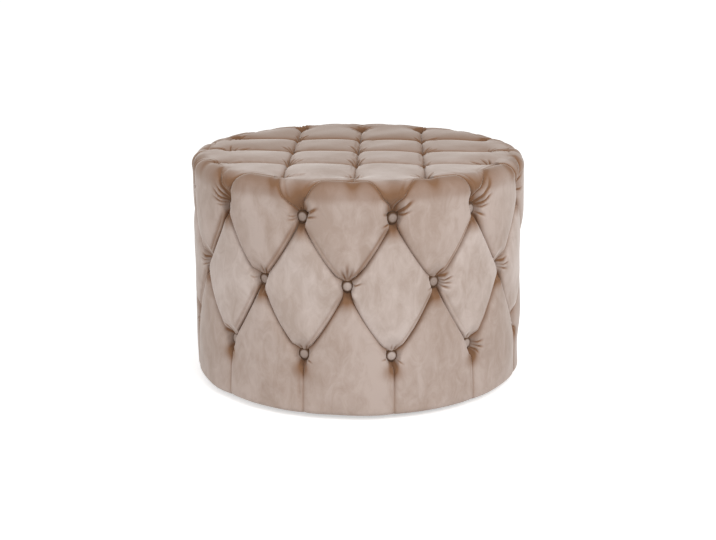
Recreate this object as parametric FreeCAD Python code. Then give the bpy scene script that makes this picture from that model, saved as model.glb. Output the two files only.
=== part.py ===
"""Round drum pouf, deep buttoned in velvet over foam and a timber and hardboard frame.

Sizes are millimetres and angles degrees. Z is up, the floor is Z = 0 and the front faces -Y.
Each piece is written to parts/ as its own STEP file.
"""

import FreeCAD
import Part

import math
import os

from FreeCAD import Placement, Rotation, Vector

# Overall size, over the crests of the puffs
pouf_diameter = 600.0
pouf_height = 408.0

# Tufting of the side: columns of buttons round the drum, in three rows
side_tufts = 12
middle_row_turn = -3.6
upper_row_drop = 63.0
row_pitch = 114.0
lower_row_pitch = 122.0

# Tufting of the top: a square grid of buttons
top_grid_pitch = 116.0
top_grid_turn = -1.7
rim_pull = 0.0

# How the soft surface rises and dips
puff_rise = 17.0
button_sink = 8.0
rim_button_sink = 8.0
rim_radius = 28.0
pleat_arch = 0.5
hem_rise = 9.0
shoulder_share = 0.80
shoulder_height = 0.82
corner_height = 0.55
corner_spread = 1.7
corner_pull = 0.7
corner_limit = 0.34
crown_share = 0.42

# Layers under the surface
cover_thickness = 1.5
wadding_thickness = 2.4
slip = 0.1
layer_slant = 0.6
seat_radius = 12.0
button_hole_radius = 3.5
hem_inner_radius = 238.0

# Frame
padding_at_side_button = 8.0
padding_at_top_button = 7.5
wall_thickness = 3.0
top_board_thickness = 12.0
top_board_round = 6.0
base_board_thickness = 15.0
board_clearance = 0.1
vent_radius = 40.0
twine_hole_radius = 2.5
post_count = 6
post_size = 40.0
post_ring_radius = 207.0
post_turn = 30.0

# Underside
dust_cover_thickness = 0.8
dust_cover_margin = 12.0
glide_count = 4
glide_radius = 20.0
glide_height = 7.2
glide_taper = 0.85
glide_ring_radius = 222.0
glide_turn = 45.0

# Screws and staples
screw_radius = 2.0
screw_head_radius = 4.0
screw_head_depth = 3.0
frame_screw_length = 45.0
glide_screw_length = 14.0
staple_count = 36
staple_width = 9.0
staple_wire = 0.7
staple_leg = 8.0

# Buttons and the twine that holds them
button_radius = 11.0
button_height = 7.5
button_edge = 3.6
button_dome = 1.2
back_radius = 8.5
back_thickness = 1.4
eye_wire_radius = 0.6
eye_ring_radius = 2.3
twine_radius = 1.0
twine_loop_radius = 1.9
twine_loop_thinning = 0.6
washer_radius = 5.5
washer_thickness = 1.2
washer_hole_radius = 1.6
knot_radius = 2.5

# Levels and radii that follow from the sizes above
UP = Vector(0, 0, 1)
cover_bottom = glide_height + dust_cover_thickness
valley_radius = pouf_diameter / 2 - puff_rise
valley_top = pouf_height - puff_rise
flat_radius = valley_radius - rim_radius
rim_length = rim_radius * math.pi / 2
column_step = 2 * math.pi / side_tufts
upper_row_z = pouf_height - upper_row_drop
middle_row_z = upper_row_z - row_pitch
lower_row_z = middle_row_z - lower_row_pitch
wadding_outer = cover_thickness + slip
wadding_inner = wadding_outer + wadding_thickness
foam_outer = wadding_inner + slip
wall_outer_radius = valley_radius - button_sink - cover_thickness - padding_at_side_button
wall_inner_radius = wall_outer_radius - wall_thickness
base_board_bottom = cover_bottom + cover_thickness
base_board_top = base_board_bottom + base_board_thickness
top_board_top = valley_top - button_sink - cover_thickness - padding_at_top_button + slip
top_board_bottom = top_board_top - top_board_thickness
eye_depth = 2 * (eye_ring_radius + eye_wire_radius)


def outward(turn):
    """Unit vector away from the axis, turn radians round from the front."""
    return Vector(math.sin(turn), -math.cos(turn), 0)


def skin(turn, run):
    """Point and normal of the pleat level surface, run millimetres from the top's middle down the outside."""
    if run <= flat_radius:
        radius, height, lean = run, valley_top, 0.0
    elif run <= flat_radius + rim_length:
        lean = (run - flat_radius) / rim_radius
        radius = flat_radius + rim_radius * math.sin(lean)
        height = valley_top - rim_radius * (1 - math.cos(lean))
    else:
        lean = math.pi / 2
        radius = valley_radius
        height = valley_top - rim_radius - (run - flat_radius - rim_length)
    away = outward(turn)
    return away * radius + UP * height, away * math.sin(lean) + UP * math.cos(lean)


def run_at(height):
    """Run of the side's points at a height."""
    return flat_radius + rim_length + valley_top - rim_radius - height


def nearest(point):
    """The pleat level point and normal nearest to a point."""
    radius = math.hypot(point.x, point.y)
    turn = math.atan2(point.x, -point.y)
    over = radius - flat_radius
    up = point.z - (valley_top - rim_radius)
    if over > 0 and up > 0:
        return skin(turn, flat_radius + rim_radius * math.atan2(over, up))
    if up > 0 or (over <= 0 and valley_top - point.z < valley_radius - radius):
        return skin(turn, min(radius, flat_radius))
    return skin(turn, flat_radius + rim_length + max(0.0, -up))


def wrapped(angle):
    """Angle brought between minus and plus half a turn."""
    return (angle + math.pi) % (2 * math.pi) - math.pi


def side_nodes():
    """Places of the side's tufts and of the pleats' ends at the hem, as (turn, run)."""
    places = {}
    for k in range(side_tufts):
        middle = math.radians(middle_row_turn) + k * column_step
        between = middle + column_step / 2
        places["middle", k] = (middle, run_at(middle_row_z))
        places["upper", k] = (between, run_at(upper_row_z))
        places["lower", k] = (between, run_at(lower_row_z))
        places["hem", k] = (between, run_at(cover_bottom))
    return places


def grid_place(i, j):
    """(turn, run) of the top grid's crossing i, j."""
    x, y = i * top_grid_pitch, j * top_grid_pitch
    return math.atan2(x, -y) + math.radians(top_grid_turn), math.hypot(x, y)


def top_nodes():
    """Places of the top's inner tufts and of the ring of tufts at its rim."""
    inner = {("grid", i, j): grid_place(i, j) for i in (-1, 0, 1) for j in (-1, 0, 1)}
    rim = [(i, j) for i in range(-2, 3) for j in range(-2, 3) if max(abs(i), abs(j)) == 2 and abs(i * j) < 4]
    places = {("rim", i, j): grid_place(i, j) for i, j in rim}
    corner_run = math.hypot(1, 2) * top_grid_pitch
    for i, j in [(2, 2), (-2, 2), (2, -2), (-2, -2)][: max(0, side_tufts - len(rim))]:
        places["rim", i, j] = (grid_place(i, j)[0], corner_run)
    return inner, places


def rim_order(rim, places):
    """The rim tufts in turn order, so that number k stands over the middle row's button k."""
    ring = sorted(rim, key=lambda name: rim[name][0] % (2 * math.pi))
    count = len(ring)

    def strain(shift):
        return sum(
            wrapped(rim[ring[(k + shift) % count]][0] - places["middle", k][0]) ** 2 for k in range(count)
        )

    best = min(range(count), key=strain)
    return [ring[(k + best) % count] for k in range(count)]


def eased(name, k):
    """A rim tuft's place, pulled from the grid's crossing towards the column of buttons below it."""
    turn, run = rim_places[name]
    return turn + rim_pull * wrapped(places["middle", k][0] - turn), run


inner_places, rim_places = top_nodes()
places = side_nodes()
rim_ring = rim_order(rim_places, places)
places.update({name: eased(name, k) for k, name in enumerate(rim_ring)})
places.update(inner_places)


def grid_neighbour(name):
    """The inner tuft that a rim tuft's pleat runs to."""
    return "grid", max(-1, min(1, name[1])), max(-1, min(1, name[2]))


def tongue(k):
    """Corners of the rim puff whose point hangs down to the upper row's button k."""
    left, right = rim_ring[k], rim_ring[(k + 1) % side_tufts]
    inner = [grid_neighbour(right), grid_neighbour(left)]
    return [("upper", k), right] + (inner if inner[0] != inner[1] else inner[:1]) + [left]


def side_puffs():
    """Corners of the side's puffs: those at the hem, the diamonds, and those that roll over the rim."""
    puffs = []
    for k in range(side_tufts):
        before, after = (k - 1) % side_tufts, (k + 1) % side_tufts
        puffs.append([("middle", k), ("lower", k), ("hem", k), ("hem", before), ("lower", before)])
        puffs.append([("upper", k), ("middle", after), ("lower", k), ("middle", k)])
        puffs.append([rim_ring[k], ("upper", k), ("middle", k), ("upper", before)])
    return puffs


def top_puffs():
    """Corners of the top's puffs: the rim's tongues and the squares inside them."""
    cells = []
    for i in (-1, 0):
        for j in (-1, 0):
            cells.append([("grid", i, j), ("grid", i + 1, j), ("grid", i + 1, j + 1), ("grid", i, j + 1)])
    return [tongue(k) for k in range(side_tufts)] + cells


def is_top(name):
    return name[0] in ("grid", "rim")


def pleat_middle(a, b):
    """Middle of the pleat between two tufts, as a pleat level point and normal.

    A pleat from the rim starts level and arches down to the upper row, so its middle has turned more
    than it has dropped.
    """
    (turn_a, run_a), (turn_b, run_b) = places[a], places[b]
    if is_top(a) and is_top(b):
        flat = (outward(turn_a) * run_a + outward(turn_b) * run_b) * 0.5
        return skin(math.atan2(flat.x, -flat.y), math.hypot(flat.x, flat.y))
    share = 0.5
    if "rim" in (a[0], b[0]):
        bulge = pleat_arch * (math.sin(math.pi / 4) - 0.5)
        share = 0.5 + bulge if a[0] == "rim" else 0.5 - bulge
    return skin(turn_a + wrapped(turn_b - turn_a) * share, run_b + (run_a - run_b) * share)


def seat(name, depth=0.0):
    """Centre and normal of the flat that a button sits on, depth millimetres under the surface."""
    point, normal = skin(*places[name])
    sink = rim_button_sink if name[0] == "rim" else button_sink
    return point - normal * (sink + depth), normal


def heading(name, other):
    """Direction of a pleat as it leaves a tuft, in the flat of its seat."""
    point, normal = skin(*places[name])
    away = pleat_middle(name, other)[0] - point
    return (away - normal * away.dot(normal)).normalize()


def seat_edge(depth):
    """Radius of a seat's edge; under the surface it widens, as the puffs' steep sides close in."""
    return seat_radius + layer_slant * depth


def crease(depth):
    """How deep a pleat lies in a layer; a fold between steep sides sinks more than the sides do."""
    return depth * (1 + layer_slant)


def hem_point(name, depth):
    """Where a pleat meets the hem; under the cover the layers end on the turned-in hem."""
    turn = places[name][0]
    height = cover_bottom + min(depth, wadding_outer)
    return outward(turn) * (valley_radius - crease(depth)) + UP * height


def corner_point(name, other, depth):
    """End of a pleat at the edge of a tuft's seat, or at the hem."""
    if name[0] == "hem":
        return hem_point(name, depth)
    centre, _ = seat(name, depth)
    return centre + heading(name, other) * seat_edge(depth)


def corner_lean(name, other, centre):
    """Direction in which a puff's corner starts: along the pleat, drawn round towards the puff's middle."""
    point, normal = skin(*places[name])
    inwards = centre - point
    inwards = (inwards - normal * inwards.dot(normal)).normalize()
    return (heading(name, other) + inwards * corner_pull).normalize()


def corner_reach(name, other):
    """How far from a tuft a puff's corner starts, less where the pleat to the next tuft is short."""
    pleat = (skin(*places[name])[0] - skin(*places[other])[0]).Length
    return min(seat_radius * corner_spread, pleat * corner_limit)


def corner_base(name, other, centre):
    """The pleat level point by a pleat's end that the puff's upper parts are drawn from."""
    if name[0] == "hem":
        return hem_point(name, 0.0)
    return skin(*places[name])[0] + corner_lean(name, other, centre) * corner_reach(name, other)


def sector_middle(name, one, other):
    """Direction halfway between two pleats of a tuft."""
    return (heading(name, one) + heading(name, other)).normalize()


def hem_middle(a, b, depth):
    """Middle of the hem between two pleats, swollen outwards."""
    turn = places[a][0] + wrapped(places[b][0] - places[a][0]) / 2
    height = cover_bottom + min(depth, wadding_outer)
    return outward(turn) * (valley_radius + hem_rise - depth) + UP * height


def puff_sides(corners):
    """The sides of a puff in order: each a kind, a name that its neighbour shares, and its two ends."""
    sides = []
    count = len(corners)
    for i, name in enumerate(corners):
        before, after = corners[i - 1], corners[(i + 1) % count]
        if name[0] != "hem":
            sides.append(("seat", (name, frozenset((before, after))), (name, before), (name, after)))
        kind = "hem" if name[0] == "hem" and after[0] == "hem" else "pleat"
        sides.append((kind, frozenset((name, after)), (name, after), (after, name)))
    return sides


def side_points(side, depth):
    """Start, middle and end of a puff's side at a depth."""
    kind, _, start, end = side
    first, last = corner_point(*start, depth), corner_point(*end, depth)
    if kind == "seat":
        centre, _ = seat(start[0], depth)
        return first, centre + sector_middle(start[0], start[1], end[1]) * seat_edge(depth), last
    if kind == "hem":
        return first, hem_middle(start[0], end[0], depth), last
    point, normal = pleat_middle(start[0], end[0])
    return first, point - normal * crease(depth), last


def puff_centre(corners):
    """Pleat level point and normal under the middle of a puff."""
    total = Vector()
    for name in corners:
        total += skin(*places[name])[0]
    return nearest(total * (1 / len(corners)))


def shoulder_points(side, centre, depth):
    """The line on a puff's shoulder that runs along one of its sides."""
    kind, _, start, end = side
    if kind == "seat":
        between = (corner_lean(*start, centre) + corner_lean(*end, centre)).normalize()
        reach = (corner_reach(*start) + corner_reach(*end)) / 2
        middle = skin(*places[start[0]])[0] + between * reach
        middle_height = corner_height
    elif kind == "hem":
        middle, middle_height = hem_middle(start[0], end[0], 0.0), shoulder_height
    else:
        middle, middle_height = pleat_middle(start[0], end[0])[0], shoulder_height
    line = []
    ends = [(corner_base(*vertex, centre), corner_height) for vertex in (start, end)]
    for base, height in (ends[0], (middle, middle_height), ends[1]):
        away = base - centre
        point, normal = nearest(centre + away * shoulder_share)
        inwards = away.normalize() * (layer_slant * depth)
        line.append(point + normal * (puff_rise * height - depth) - inwards)
    return line


def crown_point(vertex, centre, normal, depth):
    """Corner of the flat that stands for a puff's crown."""
    away = corner_base(*vertex, centre) - centre
    away = (away - normal * away.dot(normal)) * crown_share
    away -= Vector(away).normalize() * (layer_slant * depth)
    return centre + normal * (puff_rise - depth) + away


def arc(points):
    return Part.Arc(*points).toShape()


def line(start, end):
    return Part.makeLine(start, end)


def ruled(one, other):
    """Surface of straight lines from start to start through to end to end."""
    return Part.makeRuledSurface(one, other, 1)


def flat(wires):
    """Flat face inside the first loop, less the holes that the others make."""
    return Part.makeFace(wires, "Part::FaceMakerBullseye").Faces[0]


def puff_faces(corners, depth):
    """Skin of one puff: its sides, rising to a shoulder and on to a flat crown."""
    centre, normal = puff_centre(corners)
    faces, crown = [], []
    for side in puff_sides(corners):
        foot = arc(side_points(side, depth))
        shoulder = arc(shoulder_points(side, centre, depth))
        top = line(crown_point(side[2], centre, normal, depth), crown_point(side[3], centre, normal, depth))
        faces += [ruled(foot, shoulder), ruled(shoulder, top)]
        crown.append(top)
    return faces + [Part.Face(Part.Wire(crown))]


def seat_face(name, sectors, depth, holed):
    """The flat round a button, with the hole that its eye goes through."""
    wires = [Part.Wire(Part.__sortEdges__([arc(side_points(side, depth)) for side in sectors]))]
    if holed:
        wires.append(Part.Wire(hole_circle(name, depth)))
    return flat(wires)


def hole_circle(name, depth):
    centre, normal = seat(name, depth)
    return Part.makeCircle(button_hole_radius, centre, normal)


def sectors_at(puffs):
    """For each tuft, the stretches of its seat's edge that the puffs round it share."""
    found = {}
    for corners in puffs:
        for side in puff_sides(corners):
            if side[0] == "seat":
                found.setdefault(side[2][0], []).append(side)
    return found


def hem_loop(puffs, depth):
    sides = [side for corners in puffs for side in puff_sides(corners) if side[0] == "hem"]
    return Part.Wire(Part.__sortEdges__([arc(side_points(side, depth)) for side in sides]))


def solid_of(faces):
    """Closed solid from faces that meet edge to edge."""
    shell = Part.makeShell(faces)
    shell.sewShape()
    solid = Part.Solid(shell.Shells[0])
    if solid.Volume < 0:
        solid.reverse()
    return solid


side_puff_list = side_puffs()
top_puff_list = top_puffs()
all_sectors = sectors_at(side_puff_list + top_puff_list)
rim_names = [name for name in all_sectors if name[0] == "rim"]
grid_names = [name for name in all_sectors if name[0] == "grid"]
row_names = {row: [name for name in all_sectors if name[0] == row] for row in ("upper", "middle", "lower")}
side_names = row_names["upper"] + row_names["middle"] + row_names["lower"]
top_names = rim_names + grid_names


def open_sides(puffs, names):
    """Sides that only one puff or seat of a panel has: the panel's edges."""
    counts, kept = {}, {}
    for corners in puffs:
        for side in puff_sides(corners):
            counts[side[1]] = counts.get(side[1], 0) + 1
            kept[side[1]] = side
    for name in names:
        for side in all_sectors[name]:
            counts[side[1]] = counts.get(side[1], 0) + 1
            kept[side[1]] = side
    return [kept[key] for key in kept if counts[key] == 1 and kept[key][0] != "hem"]


def panel_faces(puffs, names, outer, inner):
    """Faces of a tufted layer between two depths, with its pleated edges and its button holes."""
    faces = []
    for depth in (outer, inner):
        for corners in puffs:
            faces += puff_faces(corners, depth)
        for name in names:
            faces.append(seat_face(name, all_sectors[name], depth, True))
    for side in open_sides(puffs, names):
        faces.append(ruled(arc(side_points(side, outer)), arc(side_points(side, inner))))
    for name in names:
        faces.append(ruled(hole_circle(name, outer), hole_circle(name, inner)))
    return faces


def side_cover():
    """Velvet of the side, turned in under the base as a flat hem."""
    faces = panel_faces(side_puff_list, side_names, 0.0, cover_thickness)
    circles = []
    for depth in (0.0, cover_thickness):
        circles.append(Part.makeCircle(hem_inner_radius, UP * (cover_bottom + depth), UP))
        faces.append(flat([hem_loop(side_puff_list, depth), Part.Wire(circles[-1])]))
    return solid_of(faces + [ruled(*circles)])


def side_wadding():
    faces = panel_faces(side_puff_list, side_names, wadding_outer, wadding_inner)
    loops = [hem_loop(side_puff_list, depth) for depth in (wadding_outer, wadding_inner)]
    return solid_of(faces + [flat(loops)])


def top_cover():
    return solid_of(panel_faces(top_puff_list, top_names, 0.0, cover_thickness))


def top_wadding():
    return solid_of(panel_faces(top_puff_list, top_names, wadding_outer, wadding_inner))


def foam_block():
    """The whole tufted block of foam, before the frame's room and the twine holes are cut from it."""
    puffs = side_puff_list + top_puff_list
    faces = [face for corners in puffs for face in puff_faces(corners, foam_outer)]
    faces += [seat_face(name, all_sectors[name], foam_outer, False) for name in all_sectors]
    return solid_of(faces + [flat([hem_loop(side_puff_list, foam_outer)])])


def drum(radius, bottom, top):
    return Part.makeCylinder(radius, top - bottom, UP * bottom)


def twine_way(name):
    """Start at the button's eye, and direction inwards, of the twine of a tuft."""
    centre, normal = seat(name)
    return centre, normal * -1


def anchor_reach(name):
    """How far along its twine a tuft's washer lies, from the button's seat to the frame's inner face."""
    centre, inwards = twine_way(name)
    if is_top(name):
        return (centre.z - top_board_bottom) / -inwards.z
    touch = math.sqrt(wall_inner_radius**2 - washer_radius**2)
    return math.hypot(centre.x, centre.y) - touch


def twine_holes(names, radius):
    """Rods along the twines, to cut their holes with."""
    rods = []
    for name in names:
        centre, inwards = twine_way(name)
        reach = anchor_reach(name) + puff_rise
        rods.append(Part.makeCylinder(radius, reach + puff_rise, centre - inwards * puff_rise, inwards))
    return Part.makeCompound(rods)


def side_foam(block):
    below = drum(pouf_diameter, 0.0, top_board_top + slip / 2)
    core = drum(wall_outer_radius + slip, -1.0, pouf_height)
    return block.common(below).cut(core).cut(twine_holes(side_names, button_hole_radius))


def top_foam(block):
    above = drum(pouf_diameter, top_board_top + slip, pouf_height + puff_rise)
    return block.common(above).cut(twine_holes(top_names, button_hole_radius))


def wall_panel():
    panel = drum(wall_outer_radius, base_board_bottom, top_board_bottom)
    panel = panel.cut(drum(wall_inner_radius, 0.0, pouf_height))
    return panel.cut(twine_holes(side_names, twine_hole_radius))


def post_places():
    """Middle of each post's foot, and its turn."""
    for k in range(post_count):
        turn = math.radians(post_turn + k * 360.0 / post_count)
        yield outward(turn) * post_ring_radius, turn


def frame_screw_places():
    """Two screws to each end of a post, one each side of its middle."""
    for foot, turn in post_places():
        along = Vector(math.cos(turn), math.sin(turn), 0) * (post_size / 4)
        yield foot + along
        yield foot - along


def screw(length):
    """Countersunk screw, its head's face at Z = 0 and its shank downwards."""
    shank = Part.makeCylinder(screw_radius, length - screw_head_depth, UP * -length)
    head = Part.makeCone(screw_radius, screw_head_radius, screw_head_depth, UP * -screw_head_depth)
    return shank.fuse(head).removeSplitter()


def set_of(shape, spots):
    """Copies of a shape, each moved to a spot, or turned from +Z to a direction and moved."""
    copies = []
    for spot in spots:
        point, axis = spot if isinstance(spot, tuple) else (spot, UP)
        copy = shape.copy()
        copy.Placement = Placement(point, Rotation(UP, axis))
        copies.append(copy)
    return Part.makeCompound(copies)


def top_screw_spots():
    return [spot + UP * top_board_top for spot in frame_screw_places()]


def top_board():
    board = drum(wall_outer_radius, top_board_bottom, top_board_top)
    upper_edge = [edge for edge in board.Edges if abs(edge.BoundBox.ZMin - top_board_top) < slip]
    board = board.makeFillet(top_board_round, upper_edge)
    board = board.cut(twine_holes(top_names, twine_hole_radius))
    return board.cut(set_of(screw(frame_screw_length), top_screw_spots()))


def base_screw_spots():
    return [(spot + UP * base_board_bottom, UP * -1) for spot in frame_screw_places()]


def glide_places():
    for k in range(glide_count):
        yield outward(math.radians(glide_turn + k * 360.0 / glide_count)) * glide_ring_radius


def glide_screw_spots():
    return [(spot + UP * (glide_height / 2), UP * -1) for spot in glide_places()]


def base_board():
    board = drum(wall_inner_radius - board_clearance, base_board_bottom, base_board_top)
    board = board.cut(drum(vent_radius, 0.0, pouf_height))
    board = board.cut(set_of(screw(frame_screw_length), base_screw_spots()))
    return board.cut(set_of(screw(glide_screw_length), glide_screw_spots()))


def post(foot, turn):
    """Softwood post between the boards, with the pilot holes of its four screws."""
    length = top_board_bottom - base_board_top
    block = Part.makeBox(post_size, post_size, length, Vector(-post_size / 2, -post_size / 2, 0))
    block.Placement = Placement(foot + UP * base_board_top, Rotation(UP, math.degrees(turn)))
    block = block.cut(set_of(screw(frame_screw_length), top_screw_spots()))
    return block.cut(set_of(screw(frame_screw_length), base_screw_spots()))


def dust_cover():
    sheet = drum(hem_inner_radius + dust_cover_margin, glide_height, cover_bottom)
    return sheet.cut(set_of(screw(glide_screw_length), glide_screw_spots()))


def glide(spot):
    """Moulded foot, tapered to the floor, with a countersunk pocket for its screw."""
    foot = Part.makeCone(glide_radius * glide_taper, glide_radius, glide_height, spot)
    pocket = Part.makeCylinder(screw_head_radius + board_clearance, glide_height / 2, spot)
    return foot.cut(pocket).cut(set_of(screw(glide_screw_length), [(spot + UP * (glide_height / 2), UP * -1)]))


def staple():
    """Wire staple, its crown's underside at Z = 0 and its legs upwards."""
    crown = Part.makeBox(staple_width, staple_wire, staple_wire, Vector(-staple_width / 2, -staple_wire / 2, 0))
    legs = []
    for x in (-staple_width / 2, staple_width / 2 - staple_wire):
        legs.append(Part.makeBox(staple_wire, staple_wire, staple_leg, Vector(x, -staple_wire / 2, 0)))
    return crown.fuse(legs).removeSplitter()


def dust_cover_staples():
    """Staples through the dust cover's edge and the turned-in hem into the base board."""
    ring = hem_inner_radius + dust_cover_margin / 2
    copies = []
    for k in range(staple_count):
        turn = 2 * math.pi * (k + 0.5) / staple_count
        copy = staple()
        spot = outward(turn) * ring + UP * (glide_height - staple_wire)
        copy.Placement = Placement(spot, Rotation(UP, math.degrees(turn)))
        copies.append(copy)
    return Part.makeCompound(copies)


def dome(radius, height, rise):
    """Low dome: the top of a sphere, radius across its foot, standing rise above the height."""
    ball = (radius**2 + rise**2) / (2 * rise)
    ball_shape = Part.makeSphere(ball, UP * (height + rise - ball))
    return ball_shape.common(drum(radius, height - slip, height + 2 * rise))


def button_cap():
    """Velvet covered cap with rounded edges, hollowed at the back for the metal back plate."""
    rounding = button_height - button_edge - button_dome
    body = drum(button_radius, 0, button_height - button_dome)
    rims = [edge for edge in body.Edges if edge.Closed and edge.BoundBox.ZMin > button_edge]
    body = body.makeFillet(rounding, rims)
    cap = body.fuse(dome(button_radius - rounding, button_height - button_dome, button_dome))
    return cap.removeSplitter().cut(drum(back_radius + slip / 2, -1, back_thickness))


def button_back():
    """Metal back plate with the wire eye that the twine goes through."""
    plate = Part.makeCylinder(back_radius, back_thickness)
    eye = Part.makeTorus(eye_ring_radius, eye_wire_radius, UP * -eye_ring_radius, Vector(0, 1, 0))
    return plate.fuse(eye).removeSplitter()


def twine(name):
    """Doubled twine from a button's eye, linked through it, to the knot behind its washer."""
    centre, inwards = twine_way(name)
    loop_centre = 2 * eye_ring_radius - eye_wire_radius - twine_radius + twine_loop_radius
    length = anchor_reach(name) + washer_thickness + knot_radius - loop_centre - twine_loop_radius
    strand_radius = twine_radius * twine_loop_thinning
    loop = Part.makeTorus(twine_loop_radius, strand_radius, UP * loop_centre, Vector(1, 0, 0))
    rod = Part.makeCylinder(twine_radius, length, UP * (loop_centre + twine_loop_radius))
    knot = Part.makeSphere(knot_radius, UP * (anchor_reach(name) + washer_thickness + knot_radius))
    strand = loop.fuse([rod, knot]).removeSplitter()
    strand.Placement = Placement(centre, Rotation(UP, inwards))
    return strand


def washer(name):
    """Flat washer that spreads a knot's pull on the frame's inner face."""
    centre, inwards = twine_way(name)
    disc = Part.makeCylinder(washer_radius, washer_thickness)
    disc = disc.cut(Part.makeCylinder(washer_hole_radius, washer_thickness))
    axis = UP * -1 if is_top(name) else inwards
    disc.Placement = Placement(centre + inwards * anchor_reach(name), Rotation(UP, axis))
    return disc


def write(name, shape):
    """Export one node, and say what it is made of."""
    solids = shape.Solids
    shape = solids[0] if len(solids) == 1 else Part.makeCompound(solids)
    shape.exportStep(f"parts/{name}.step")
    volume = sum(solid.Volume for solid in solids)
    print(f"{name}: {len(solids)} solids, {volume / 1000:.1f} cm3, valid {shape.isValid()}")


def main():
    os.makedirs("parts", exist_ok=True)
    write("side_cover", side_cover())
    write("top_cover", top_cover())
    write("side_wadding", side_wadding())
    write("top_wadding", top_wadding())
    block = foam_block()
    write("side_foam", side_foam(block))
    write("top_foam", top_foam(block))
    write("wall_panel", wall_panel())
    write("top_board", top_board())
    write("base_board", base_board())
    for number, (foot, turn) in enumerate(post_places(), 1):
        write(f"frame_post_{number}", post(foot, turn))
    write("top_board_screws", set_of(screw(frame_screw_length), top_screw_spots()))
    write("base_board_screws", set_of(screw(frame_screw_length), base_screw_spots()))
    write("dust_cover", dust_cover())
    write("dust_cover_staples", dust_cover_staples())
    for number, spot in enumerate(glide_places(), 1):
        write(f"glide_{number}", glide(spot))
    write("glide_screws", set_of(screw(glide_screw_length), glide_screw_spots()))
    groups = {f"{row}_row": row_names[row] for row in ("upper", "middle", "lower")}
    groups["rim"] = rim_names
    groups["top"] = grid_names
    for group, names in groups.items():
        write(f"{group}_buttons", set_of(button_cap(), [seat(name) for name in names]))
        write(f"{group}_button_backs", set_of(button_back(), [seat(name) for name in names]))
        write(f"{group}_twines", Part.makeCompound([twine(name) for name in names]))
        write(f"{group}_washers", Part.makeCompound([washer(name) for name in names]))


main()
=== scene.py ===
"""Looks of a round drum pouf: deep buttoned velvet, its padding, frame finishes, and a plain studio."""

import math
import random

import bmesh
import bpy
import numpy as np
from bpy.props import FloatProperty, FloatVectorProperty, IntProperty, PointerProperty
from mathutils import Matrix, Vector


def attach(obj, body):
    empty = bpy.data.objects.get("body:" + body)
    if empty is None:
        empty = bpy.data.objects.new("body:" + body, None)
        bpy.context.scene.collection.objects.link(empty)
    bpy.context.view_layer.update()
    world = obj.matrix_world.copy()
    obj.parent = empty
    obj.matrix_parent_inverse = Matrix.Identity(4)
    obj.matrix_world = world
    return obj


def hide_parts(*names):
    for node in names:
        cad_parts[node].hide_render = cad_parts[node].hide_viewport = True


bl_info = {
    "name": "Buttoned Drum Pouf",
    "version": (1, 0, 0),
    "blender": (4, 5, 0),
    "location": "View3D > Sidebar > Pouf",
    "description": "Builds the velvet, padding, buttons, finishes and studio of a round buttoned pouf",
    "category": "Object",
}

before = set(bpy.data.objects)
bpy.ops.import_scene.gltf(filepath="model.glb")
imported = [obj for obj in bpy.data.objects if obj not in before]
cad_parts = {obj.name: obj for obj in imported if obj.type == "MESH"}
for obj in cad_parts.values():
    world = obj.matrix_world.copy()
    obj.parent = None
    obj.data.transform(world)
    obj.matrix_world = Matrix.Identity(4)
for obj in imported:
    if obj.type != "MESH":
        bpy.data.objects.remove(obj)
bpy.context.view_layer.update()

MM = 0.001
UP = np.array((0.0, 0.0, 1.0))
NEAREST = 1e-7

# Layers: how far each lies under the velvet's surface, and how thick it is
VELVET_THICKNESS = 0.0012
WADDING_DEPTH = 0.0058
WADDING_THICKNESS = 0.0024
FOAM_DEPTH = 0.0083
FOAM_SLIP = 0.0002

# Meshes: steps of the padding's patches, how much finer a patch is at its button, and what is merged
PADDING_STEPS = 14
PATCH_GRADE = 1.4
WELD = 0.00002

# Foot of the side: the roll at the hem, the turned-in edge, and where the pleats level out above the hem
HEM_ROLL = 0.009
HEM_INNER_RADIUS = 0.238
FOOT_BAND = 0.005
FOOT_START = 0.11
FOOT_END = 0.012
FOOT_FLOOR = 0.0135

# FOLD_SHARE, what the arches do and the last four painted shades are ramps: start, end, first value, last
# value

# Section of a puff: its fold beside a pleat and its crown, the fold's share of the rise by how level the
# cloth lies, what it gains at the rim, and the slow swells of the padding
FOLD_WIDTH = 0.0026
CROWN_WIDTH = 0.044
CROWN_POWER = 2.2
FOLD_SHARE = (0.2, 0.9, 0.5, 0.34)
RIM_SWELL = 0.006
SWELL_SEED = 88
SWELLS = 7
SWELL_LENGTHS = (0.05, 0.13)
SWELL_HEIGHT = 0.00045

# Pleats by kind: how far the upper puff hangs over them, and how high their floor rises between tufts
PLEAT_SEED = 404
PLEAT_POINTS = 41
PLEAT_HANGS = {"top": 0.0012, "shoulder": 0.0012, "arch": 0.001}
PLEAT_HANGS |= {"left": 0.0026, "right": 0.0026, "foot": 0.0026}
PLEAT_RISES = {"top": 0.0095, "shoulder": 0.006, "arch": 0.002}
PLEAT_RISES |= {"left": 0.004, "right": 0.0075, "foot": 0.0075}
PLEAT_BOW = 0.16
ROW_LEVELS = {"grid": 3.0, "rim": 3.0, "lip": 3.0, "upper": 2.5, "middle": 2.0, "lower": 1.0, "hem": 0.0}

# Powers of the arches' curves: straight up to a narrow span, one less for each widening, and at least round
ARCH_NARROW = 0.042
ARCH_WIDENING = 0.024
ARCH_STRAIGHT = 2.0
ARCH_ROUND = 0.72

# Along an arch from the lip: its level, further hang, tightness and band of painted shadow under the lip; the
# same at the shoulders
LIP_LEVEL = 0.013
ARCH_FALL = (0.3, 1.0, LIP_LEVEL, 0.0)
ARCH_HANG = (0.2, 0.75, 0.0025, 0.0)
ARCH_TUCK = (0.35, 0.85, 0.42, 1.0)
ARCH_BAND = (0.0, 0.6, 1.0, 0.0)
SHOULDER_TUCK = 0.3
SHOULDER_BAND = 0.3

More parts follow.
